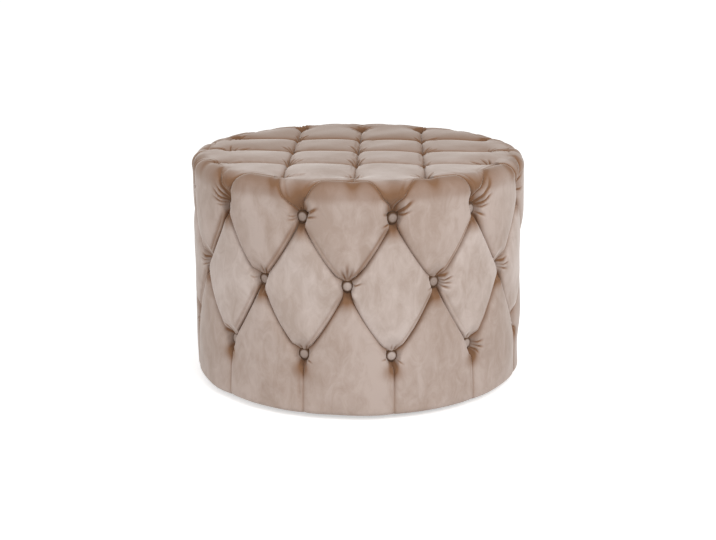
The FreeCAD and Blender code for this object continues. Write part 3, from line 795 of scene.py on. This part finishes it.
    def unevenness(self, base):
        """Slow swells of the hand-laid padding."""
        draw = random.Random(SWELL_SEED)
        total = np.zeros(len(base))
        for _ in range(SWELLS):
            heading = Vector((draw.gauss(0, 1), draw.gauss(0, 1), draw.gauss(0, 1))).normalized()
            pace = 2 * math.pi / draw.uniform(*SWELL_LENGTHS)
            total += SWELL_HEIGHT * np.sin(base @ np.array(heading) * pace + draw.uniform(0, 2 * math.pi))
        return total

    def gathers(self, name, right, up):
        """Height of the creases that run out from a button, each between two low banks."""
        total = np.zeros(len(right))
        for angle, length, deep, wide in self.folds[name]:
            along = right * math.cos(angle) + up * math.sin(angle)
            width = wide * (GATHER_WIDTH + np.clip(along, 0, 1) / GATHER_SPREAD)
            aside = (up * math.cos(angle) - right * math.sin(angle)) / width
            window = smooth_step(along, *GATHER_START) * (1 - smooth_step(along, length / 2, length))
            total -= deep * window * (1 - GATHER_BANKS * aside**2) * np.exp(-(aside**2))
        return total

    def rolled_hem(self, points):
        """Rounds the foot of the side in to the hem."""
        up = points[:, 2] - self.shape.cover_bottom
        inside = HEM_ROLL - np.sqrt(np.maximum(HEM_ROLL**2 - np.clip(HEM_ROLL - up, 0, HEM_ROLL) ** 2, 0))
        radius = np.hypot(points[:, 0], points[:, 1])
        scale = 1 - np.where(up < HEM_ROLL, inside, 0) / np.maximum(radius, NEAREST)
        return points * np.stack([scale, scale, np.ones(len(scale))], -1)


def new_object(name, mesh):
    piece = bpy.data.objects.new(name, mesh)
    bpy.context.scene.collection.objects.link(piece)
    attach(piece, "root")
    return piece


def smooth_mesh(mesh, work):
    """Fills a mesh from a bmesh and shades it smooth."""
    work.to_mesh(mesh)
    work.free()
    mesh.shade_smooth()
    return mesh


def mesh_from(name, points, quads, painted_shade_and_tone):
    """Mesh of quads with doubled points along shared edges merged."""
    mesh = bpy.data.meshes.new(name)
    mesh.from_pydata(points.tolist(), [], quads.tolist())
    layer = mesh.attributes.new("painted_shade_and_tone", "FLOAT", "POINT")
    layer.data.foreach_set("value", painted_shade_and_tone.astype(np.float32))
    work = bmesh.new()
    work.from_mesh(mesh)
    bmesh.ops.remove_doubles(work, verts=work.verts, dist=WELD)
    bmesh.ops.recalc_face_normals(work, faces=work.faces)
    return smooth_mesh(mesh, work)


def puff_mesh(name, drum, puffs, steps, depth=0.0, fine=True):
    """One mesh of several puffs, that depth under the surface."""
    points, quads, painted_shades, count = [], [], [], 0
    grid = np.arange((steps + 1) ** 2).reshape(steps + 1, steps + 1)
    cells = np.stack([grid[:-1, :-1], grid[1:, :-1], grid[1:, 1:], grid[:-1, 1:]], -1).reshape(-1, 4)
    for corners in puffs:
        for index in range(len(corners)):
            turn, run = drum.patch(corners, index, steps)
            placed, painted_shade_and_tone = drum.dressed(corners, turn, run, depth, fine)
            points.append(placed)
            painted_shades.append(painted_shade_and_tone)
            quads.append(cells + count)
            count += len(placed)
    points, painted_shades, quads = np.concatenate(points), np.concatenate(painted_shades), np.concatenate(quads)
    return mesh_from(name, points, quads, painted_shades)


def carry_foot(mesh, level, rings, capped=False):
    """Carries the foot of the side on through rings, each a radius and a height, and closes the last one."""
    work = bmesh.new()
    work.from_mesh(mesh)
    foot = level + FOOT_BAND
    edges = [edge for edge in work.edges if edge.is_boundary and max(v.co.z for v in edge.verts) < foot]
    for radius, height in rings:
        grown = bmesh.ops.extrude_edge_only(work, edges=edges)["geom"]
        edges = [item for item in grown if isinstance(item, bmesh.types.BMEdge)]
        for vertex in (item for item in grown if isinstance(item, bmesh.types.BMVert)):
            scale = radius / math.hypot(vertex.co.x, vertex.co.y)
            vertex.co = Vector((vertex.co.x * scale, vertex.co.y * scale, height))
    if capped:
        bmesh.ops.contextual_create(work, geom=edges)
    bmesh.ops.recalc_face_normals(work, faces=work.faces)
    work.to_mesh(mesh)
    work.free()


def thickened(piece, thickness):
    """Gives a skin its thickness, inwards."""
    solid = piece.modifiers.new("thickness", "SOLIDIFY")
    solid.thickness = thickness
    solid.offset = -1.0


def cad_span(piece):
    """Lowest and highest corner of a CAD node."""
    corners = [Vector(corner) for corner in piece.bound_box]
    return corners[0], corners[6]


def node(tree, kind, **values):
    made = tree.nodes.new(kind)
    for name, value in values.items():
        setattr(made, name, value)
    return made


def principled(name, roughness=0.8, metallic=0.0):
    """New material with a Principled BSDF, as (material, tree, shader)."""
    material = bpy.data.materials.new(name)
    material.use_nodes = True
    tree = material.node_tree
    shader = tree.nodes["Principled BSDF"]
    shader.inputs["Roughness"].default_value = roughness
    shader.inputs["Metallic"].default_value = metallic
    return material, tree, shader


def noise(tree, scale, detail=3.0, roughness=0.5, distortion=0.0):
    made = node(tree, "ShaderNodeTexNoise")
    made.inputs["Scale"].default_value = scale
    made.inputs["Detail"].default_value = detail
    made.inputs["Roughness"].default_value = roughness
    made.inputs["Distortion"].default_value = distortion
    return made


def spread(tree, source, low, high):
    """Stretches a mask's range from low to high out to nothing to full."""
    made = node(tree, "ShaderNodeMapRange")
    made.inputs["From Min"].default_value = low
    made.inputs["From Max"].default_value = high
    tree.links.new(source, made.inputs["Value"])
    return made.outputs["Result"]


def blended(tree, mask, one, other):
    """Colour that goes from one to other by a mask; each is a colour or a socket."""
    made = node(tree, "ShaderNodeMix", data_type="RGBA")
    tree.links.new(mask, made.inputs["Factor"])
    for socket, colour in (("A", one), ("B", other)):
        if isinstance(colour, bpy.types.NodeSocket):
            tree.links.new(colour, made.inputs[socket])
        else:
            made.inputs[socket].default_value = (*colour, 1)
    return made.outputs["Result"]


def effect(name, inputs, outputs):
    """Empty node group with those sockets, as (group, its input node, its output node)."""
    group = bpy.data.node_groups.new(name, "ShaderNodeTree")
    for label, kind, default in inputs:
        socket = group.interface.new_socket(label, in_out="INPUT", socket_type=f"NodeSocket{kind}")
        socket.default_value = default
    for label, kind in outputs:
        group.interface.new_socket(label, in_out="OUTPUT", socket_type=f"NodeSocket{kind}")
    return group, node(group, "NodeGroupInput"), node(group, "NodeGroupOutput")


def nap_effect():
    """Velvet's nap: patches of pile that lie one way or the other, smudges, and the fine pile."""
    group, given, result = effect(
        "velvet_nap",
        [("Pile", "Color", (0.4, 0.3, 0.25, 1)), ("Stroked", "Color", (0.5, 0.4, 0.35, 1))],
        [("Colour", "Color"), ("Height", "Float")],
    )
    link = group.links.new
    where = node(group, "ShaderNodeTexCoord")
    hang = node(group, "ShaderNodeMapping")
    hang.inputs["Scale"].default_value = (1.0, 1.0, 0.55)
    link(where.outputs["Object"], hang.inputs["Vector"])
    broad = noise(group, scale=13.0, detail=4.0, roughness=0.55, distortion=0.4)
    smudges = noise(group, scale=46.0, detail=7.0, roughness=0.68, distortion=0.8)
    pile = noise(group, scale=900.0, detail=2.0)
    for source in (broad, smudges):
        link(hang.outputs["Vector"], source.inputs["Vector"])
    link(where.outputs["Object"], pile.inputs["Vector"])
    broad_share = 0.55
    wide = node(group, "ShaderNodeMath", operation="MULTIPLY_ADD")
    wide.inputs[1].default_value = broad_share
    link(broad.outputs["Fac"], wide.inputs[0])
    near = node(group, "ShaderNodeMath", operation="MULTIPLY")
    near.inputs[1].default_value = 1 - broad_share
    link(smudges.outputs["Fac"], near.inputs[0])
    link(near.outputs[0], wide.inputs[2])
    lie = spread(group, wide.outputs[0], low=0.41, high=0.59)
    link(blended(group, lie, given.outputs["Pile"], given.outputs["Stroked"]), result.inputs["Colour"])
    link(pile.outputs["Fac"], result.inputs["Height"])
    return group


def grain_effect():
    """Wood grain or fibres: streaks along the stretched axis, with a fine texture."""
    group, given, result = effect(
        "wood_grain",
        [
            ("Vector", "Vector", (0, 0, 0)),
            ("Early", "Color", (0.6, 0.45, 0.3, 1)),
            ("Late", "Color", (0.4, 0.28, 0.16, 1)),
        ],
        [("Colour", "Color"), ("Height", "Float")],
    )
    link = group.links.new
    streaks = noise(group, scale=1.0, detail=6.0, roughness=0.6, distortion=0.6)
    pores = noise(group, scale=9.0, roughness=0.6)
    for source in (streaks, pores):
        link(given.outputs["Vector"], source.inputs["Vector"])
    rings = spread(group, streaks.outputs["Fac"], low=0.35, high=0.68)
    link(blended(group, rings, given.outputs["Early"], given.outputs["Late"]), result.inputs["Colour"])
    link(pores.outputs["Fac"], result.inputs["Height"])
    return group


def speckle_effect():
    """Fine even texture of moulded, rolled, foamed or bonded stuff, with blotches for its tone."""
    group, given, result = effect(
        "speckle",
        [("Scale", "Float", 400.0), ("Dark", "Color", (0, 0, 0, 1)), ("Light", "Color", (1, 1, 1, 1))],
        [("Colour", "Color"), ("Height", "Float"), ("Roughness", "Float")],
    )
    link = group.links.new
    where = node(group, "ShaderNodeTexCoord")
    fine = noise(group, scale=1.0, detail=4.0, roughness=0.6)
    blotches = noise(group, scale=16.0, detail=4.0, roughness=0.6)
    link(given.outputs["Scale"], fine.inputs["Scale"])
    for source in (fine, blotches):
        link(where.outputs["Object"], source.inputs["Vector"])
    tone = spread(group, blotches.outputs["Fac"], low=0.3, high=0.7)
    link(blended(group, tone, given.outputs["Dark"], given.outputs["Light"]), result.inputs["Colour"])
    link(fine.outputs["Fac"], result.inputs["Height"])
    link(spread(group, fine.outputs["Fac"], low=-0.6, high=1.4), result.inputs["Roughness"])
    return group


def grouped(tree, name, build):
    """The node group of that name placed in a material; it is built when it is first asked for."""
    return node(tree, "ShaderNodeGroup", node_tree=bpy.data.node_groups.get(name) or build())


def bumped(tree, shader, height, strength, distance):
    bump = node(tree, "ShaderNodeBump")
    bump.inputs["Strength"].default_value = strength
    bump.inputs["Distance"].default_value = distance
    tree.links.new(height, bump.inputs["Height"])
    tree.links.new(bump.outputs["Normal"], shader.inputs["Normal"])


def velvet_material(name, look, pile=1.0, painted_shade_and_tone=1.0, sheen=0.75):
    """Short pile velvet, with painted shade in its creases and hollows; pile and painted_shade_and_tone
    darken the buttons' cloth.
    """
    material, tree, shader = principled(name, roughness=0.9)
    nap = grouped(tree, "velvet_nap", nap_effect)
    for label, colour in (("Pile", look.pile_colour), ("Stroked", look.stroked_colour)):
        nap.inputs[label].default_value = (*(channel * pile for channel in colour), 1)
    # Painted shade: the attribute browns the velvet towards its painted shade colour
    depth = node(tree, "ShaderNodeAttribute", attribute_name="painted_shade_and_tone")
    deep = spread(tree, depth.outputs["Fac"], low=0.1, high=1.3)
    shade = blended(tree, deep, nap.outputs["Colour"], [channel * painted_shade_and_tone for channel in look.painted_shade_colour])
    tree.links.new(shade, shader.inputs["Base Color"])
    bumped(tree, shader, nap.outputs["Height"], strength=0.12, distance=0.0006)
    shader.inputs["Specular IOR Level"].default_value = 0.15
    shader.inputs["Sheen Weight"].default_value = sheen
    shader.inputs["Sheen Roughness"].default_value = 0.35
    shader.inputs["Sheen Tint"].default_value = (1.0, 0.95, 0.91, 1)
    return material


def grained_material(name, early, late, stretch, roughness):
    """Wood or fibre board, its grain along the axis with the smallest stretch."""
    material, tree, shader = principled(name, roughness)
    where = node(tree, "ShaderNodeTexCoord")
    along = node(tree, "ShaderNodeMapping")
    along.inputs["Scale"].default_value = stretch
    tree.links.new(where.outputs["Object"], along.inputs["Vector"])
    grain = grouped(tree, "wood_grain", grain_effect)
    tree.links.new(along.outputs["Vector"], grain.inputs["Vector"])
    grain.inputs["Early"].default_value = (*early, 1)
    grain.inputs["Late"].default_value = (*late, 1)
    tree.links.new(grain.outputs["Colour"], shader.inputs["Base Color"])
    bumped(tree, shader, grain.outputs["Height"], strength=0.3, distance=0.0003)
    return material


def speckled_material(name, dark, light, scale, metallic=0.0, strength=0.3, distance=0.0002):
    """Metal, plastic, foam or bonded cloth with a fine even texture."""
    material, tree, shader = principled(name, metallic=metallic)
    speckle = grouped(tree, "speckle", speckle_effect)
    speckle.inputs["Scale"].default_value = scale
    speckle.inputs["Dark"].default_value = (*dark, 1)
    speckle.inputs["Light"].default_value = (*light, 1)
    tree.links.new(speckle.outputs["Colour"], shader.inputs["Base Color"])
    if metallic:
        tree.links.new(speckle.outputs["Roughness"], shader.inputs["Roughness"])
    bumped(tree, shader, speckle.outputs["Height"], strength, distance)
    return material


class POUF_OT_velvet(bpy.types.Operator):
    """Build the tufted velvet of the side and of the top."""

    bl_idname = "pouf.velvet"
    bl_label = "Velvet cover"

    def execute(self, context):
        scene = context.scene
        drum = Drum(scene.pouf_shape)
        velvet = velvet_material("velvet", scene.pouf_velvet)
        steps = scene.pouf_shape.patch_steps
        hem = scene.pouf_shape.cover_bottom
        for name, puffs in (("side_velvet", drum.side_puffs()), ("top_velvet", drum.top_puffs())):
            mesh = puff_mesh(name, drum, puffs, steps)
            if name == "side_velvet":
                carry_foot(mesh, hem, [(HEM_INNER_RADIUS, hem)])
            mesh.materials.append(velvet)
            piece = new_object(name, mesh)
            thickened(piece, VELVET_THICKNESS)
            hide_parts(name.replace("velvet", "cover"))
        return {"FINISHED"}


class POUF_OT_buttons(bpy.types.Operator):
    """Build the covered buttons of each row."""

    bl_idname = "pouf.buttons"
    bl_label = "Covered buttons"

    def execute(self, context):
        scene = context.scene
        drum = Drum(scene.pouf_shape)
        # The buttons' velvet takes a darker painted shade for the ring at their rims
        velvet = velvet_material("button_velvet", scene.pouf_velvet, pile=0.95, painted_shade_and_tone=0.45, sheen=0.4976)
        kinds = {"upper_row": "upper", "middle_row": "middle", "lower_row": "lower"}
        kinds |= {"rim": "rim", "top": "grid"}
        for row, kind in kinds.items():
            mesh = self.row_mesh(row, drum, [name for name in drum.tufts() if name[0] == kind])
            mesh.materials.append(velvet)
            piece = new_object(f"{row}_covered_buttons", mesh)
            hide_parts(f"{row}_buttons")
        return {"FINISHED"}

    def row_mesh(self, row, drum, names):
        draw = random.Random(row)
        work = bmesh.new()
        work.verts.layers.float.new("painted_shade_and_tone")
        for name in names:
            centre, axis = drum.skin(*drum.places[name])
            seat = centre - axis * (drum.seat_depth(name) - SEAT_OVERLAP)
            turn = Vector(axis).to_track_quat("Z", "Y").to_matrix().to_4x4()
            lean = Matrix.Rotation(draw.uniform(-MOST_LEAN, MOST_LEAN), 4, "X")
            roll = Matrix.Rotation(draw.uniform(-MOST_LEAN, MOST_LEAN), 4, "Y")
            tone = BUTTON_TONES.get(name, draw.uniform(*OTHER_TONES))
            self.add_button(work, Matrix.Translation(seat) @ turn @ lean @ roll, draw, tone)
        return smooth_mesh(bpy.data.meshes.new(f"{row}_covered_buttons"), work)

    def profile(self):
        """Outline of a button from its foot over its rounded edge to near its middle, as (radius, height)."""
        inner = BUTTON_RADIUS - BUTTON_EDGE
        side = BUTTON_HEIGHT - BUTTON_DOME - BUTTON_EDGE
        outline = [(BUTTON_RADIUS - inwards, up) for inwards, up in BUTTON_FOOT]
        for step in range(EDGE_STEPS + 1):
            angle = step / EDGE_STEPS * math.pi / 2
            outline.append((inner + BUTTON_EDGE * math.cos(angle), side + BUTTON_EDGE * math.sin(angle)))
        for step in range(1, DOME_STEPS):
            out = 1 - step / DOME_STEPS
            outline.append((inner * out, BUTTON_HEIGHT - BUTTON_DOME * out**2))
        return outline

    def add_button(self, work, place, draw, tone):
        """One covered button: a drum with a rounded edge, a slight dome, and gathers down its side."""
        inner = BUTTON_RADIUS - BUTTON_EDGE
        gathered, rim_shade_span = (inner * 0.9, BUTTON_RADIUS), (inner * 0.66, inner * 0.97)
        gathers = draw.randint(*BUTTON_GATHERS)
        start = draw.uniform(0, 2 * math.pi)
        painted_shade_and_tone = work.verts.layers.float["painted_shade_and_tone"]
        rings = []
        for out, up in self.profile():
            pinch = GATHER_PINCH * float(smooth_step(out, *gathered))
            swell = CLOTH_SWELL * float(smooth_step(out, 0.0, BUTTON_RADIUS))
            # Listed or random tone on a button's face, painted shade darkening its rim
            dark = float(ramp(out, *rim_shade_span, tone, BUTTON_RIM_SHADE))
            ring = []
            for k in range(BUTTON_STEPS):
                angle = 2 * math.pi * k / BUTTON_STEPS
                span = out + pinch * math.cos(gathers * angle + start)
                high = up + swell * math.sin(2 * angle + start)
                spot = Vector((span * math.cos(angle), span * math.sin(angle), high))
                vertex = work.verts.new(place @ spot)
                vertex[painted_shade_and_tone] = dark
                ring.append(vertex)
            rings.append(ring)
        middle = work.verts.new(place @ Vector((0, 0, BUTTON_HEIGHT)))
        foot = work.verts.new(place @ Vector((0, 0, 0)))
        for k in range(BUTTON_STEPS):
            after = (k + 1) % BUTTON_STEPS
            for lower, upper in zip(rings, rings[1:]):
                work.faces.new((lower[k], lower[after], upper[after], upper[k]))
            work.faces.new((rings[-1][k], rings[-1][after], middle))
            work.faces.new((rings[0][after], rings[0][k], foot))


class POUF_OT_padding(bpy.types.Operator):
    """Build the wadding under the velvet and the foam under the wadding."""

    bl_idname = "pouf.padding"
    bl_label = "Padding"

    def execute(self, context):
        shape = context.scene.pouf_shape
        drum = Drum(shape)
        fluffy = speckled_material("wadding", (0.78, 0.78, 0.76), (0.9, 0.9, 0.88), 260.0, distance=0.0015)
        porous = speckled_material("foam", (0.74, 0.68, 0.5), (0.86, 0.81, 0.63), 700.0, strength=0.6)
        layers = {"side_wadding": drum.side_puffs(), "top_wadding": drum.top_puffs()}
        for node_name, puffs in layers.items():
            mesh = puff_mesh(node_name + "_layer", drum, puffs, PADDING_STEPS, WADDING_DEPTH, fine=False)
            mesh.materials.append(fluffy)
            piece = new_object(node_name + "_layer", mesh)
            thickened(piece, WADDING_THICKNESS)
            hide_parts(node_name)
        mesh = puff_mesh("foam_padding", drum, drum.puffs, PADDING_STEPS, FOAM_DEPTH, fine=False)
        low, high = cad_span(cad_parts["wall_panel"])
        board_top = cad_span(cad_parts["top_board"])[1].z
        room = high.x + FOAM_SLIP
        carry_foot(mesh, low.z, [(room, low.z), (room, board_top + FOAM_SLIP)], capped=True)
        mesh.materials.append(porous)
        piece = new_object("foam_padding", mesh)
        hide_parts("side_foam", "top_foam")
        return {"FINISHED"}


class POUF_OT_frame(bpy.types.Operator):
    """Finish the boards, posts, screws, staples, twines and glides."""

    bl_idname = "pouf.frame"
    bl_label = "Frame finishes"

    def execute(self, context):
        finishes = {label: grained_material(*values) for label, values in WOODS.items()}
        finishes |= {label: speckled_material(*values) for label, values in FITTINGS.items()}
        for name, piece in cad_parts.items():
            matches = [label for label in finishes if name.startswith(label) or name.endswith(label)]
            for place in piece.material_slots if matches else ():
                place.material = finishes[max(matches, key=len)]
        return {"FINISHED"}


class POUF_OT_stage(bpy.types.Operator):
    """Make the floor, the lights and the camera."""

    bl_idname = "pouf.stage"
    bl_label = "Studio"

    def execute(self, context):
        scene = context.scene
        look = scene.pouf_stage
        scene.view_settings.view_transform = "Standard"
        self.floor(look)
        self.sky(scene, look)
        self.lamp("key_softbox", look.key_power, KEY_SIZE, KEY_PLACE)
        self.lamp("side_fill", look.fill_power, FILL_SIZE, FILL_PLACE)
        self.camera(scene, look)
        return {"FINISHED"}

    def floor(self, look):
        mesh = bpy.data.meshes.new("floor")
        far = FLOOR_REACH
        mesh.from_pydata([(-far, -far, 0), (far, -far, 0), (far, far, 0), (-far, far, 0)], [], [(0, 1, 2, 3)])
        floor = bpy.data.objects.new("floor", mesh)
        bpy.context.scene.collection.objects.link(floor)
        material, tree, shader = principled("floor", roughness=0.9)
        shader.inputs["Base Color"].default_value = (*look.floor_colour, 1)
        path = node(tree, "ShaderNodeLightPath")
        seen = node(tree, "ShaderNodeMath", operation="MULTIPLY")
        seen.inputs[1].default_value = FLOOR_GLOW
        tree.links.new(path.outputs["Is Camera Ray"], seen.inputs[0])
        tree.links.new(seen.outputs[0], shader.inputs["Emission Strength"])
        shader.inputs["Emission Color"].default_value = (1, 1, 1, 1)
        mesh.materials.append(material)

    def sky(self, scene, look):
        world = bpy.data.worlds.new("studio")
        scene.world = world
        world.use_nodes = True
        tree = world.node_tree
        light = tree.nodes["Background"]
        light.inputs["Color"].default_value = (1, 1, 1, 1)
        light.inputs["Strength"].default_value = look.sky_strength
        seen = node(tree, "ShaderNodeBackground")
        seen.inputs["Color"].default_value = (1, 1, 1, 1)
        seen.inputs["Strength"].default_value = 1.0
        path = node(tree, "ShaderNodeLightPath")
        mix = node(tree, "ShaderNodeMixShader")
        tree.links.new(path.outputs["Is Camera Ray"], mix.inputs["Fac"])
        tree.links.new(light.outputs[0], mix.inputs[1])
        tree.links.new(seen.outputs[0], mix.inputs[2])
        tree.links.new(mix.outputs[0], tree.nodes["World Output"].inputs["Surface"])

    def lamp(self, name, power, size, place):
        data = bpy.data.lights.new(name, "AREA")
        data.energy = power
        data.size = size
        lamp = bpy.data.objects.new(name, data)
        lamp.location = place
        lamp.rotation_mode = "QUATERNION"
        lamp.rotation_quaternion = (Vector(AIM) - Vector(place)).to_track_quat("-Z", "Y")
        bpy.context.scene.collection.objects.link(lamp)

    def camera(self, scene, look):
        data = bpy.data.cameras.new("camera")
        data.lens = look.lens
        data.sensor_width = 36.0
        camera = bpy.data.objects.new("camera", data)
        camera.location = (0, -look.camera_distance, look.camera_height)
        camera.rotation_euler = (math.pi / 2 - look.camera_pitch, 0, 0)
        scene.collection.objects.link(camera)
        scene.camera = camera


class POUF_PT_panel(bpy.types.Panel):
    """Buttons for each part of the pouf."""

    bl_label = "Pouf"
    bl_idname = "POUF_PT_panel"
    bl_space_type = "VIEW_3D"
    bl_region_type = "UI"
    bl_category = "Pouf"

    def draw(self, context):
        for operator in operators:
            self.layout.operator(operator.bl_idname)


operators = (POUF_OT_velvet, POUF_OT_buttons, POUF_OT_padding, POUF_OT_frame, POUF_OT_stage)
groups = {"pouf_shape": PoufShape, "pouf_velvet": VelvetLook, "pouf_stage": StageLook}


def register():
    for group in groups.values():
        bpy.utils.register_class(group)
    for name, group in groups.items():
        setattr(bpy.types.Scene, name, PointerProperty(type=group))
    for item in (*operators, POUF_PT_panel):
        bpy.utils.register_class(item)


def unregister():
    for item in (POUF_PT_panel, *reversed(operators)):
        bpy.utils.unregister_class(item)
    for name, group in groups.items():
        delattr(bpy.types.Scene, name)
        bpy.utils.unregister_class(group)


def main():
    register()
    bpy.ops.pouf.velvet()
    bpy.ops.pouf.buttons()
    bpy.ops.pouf.padding()
    bpy.ops.pouf.frame()
    bpy.ops.pouf.stage()


if __name__ == "__main__":
    main()
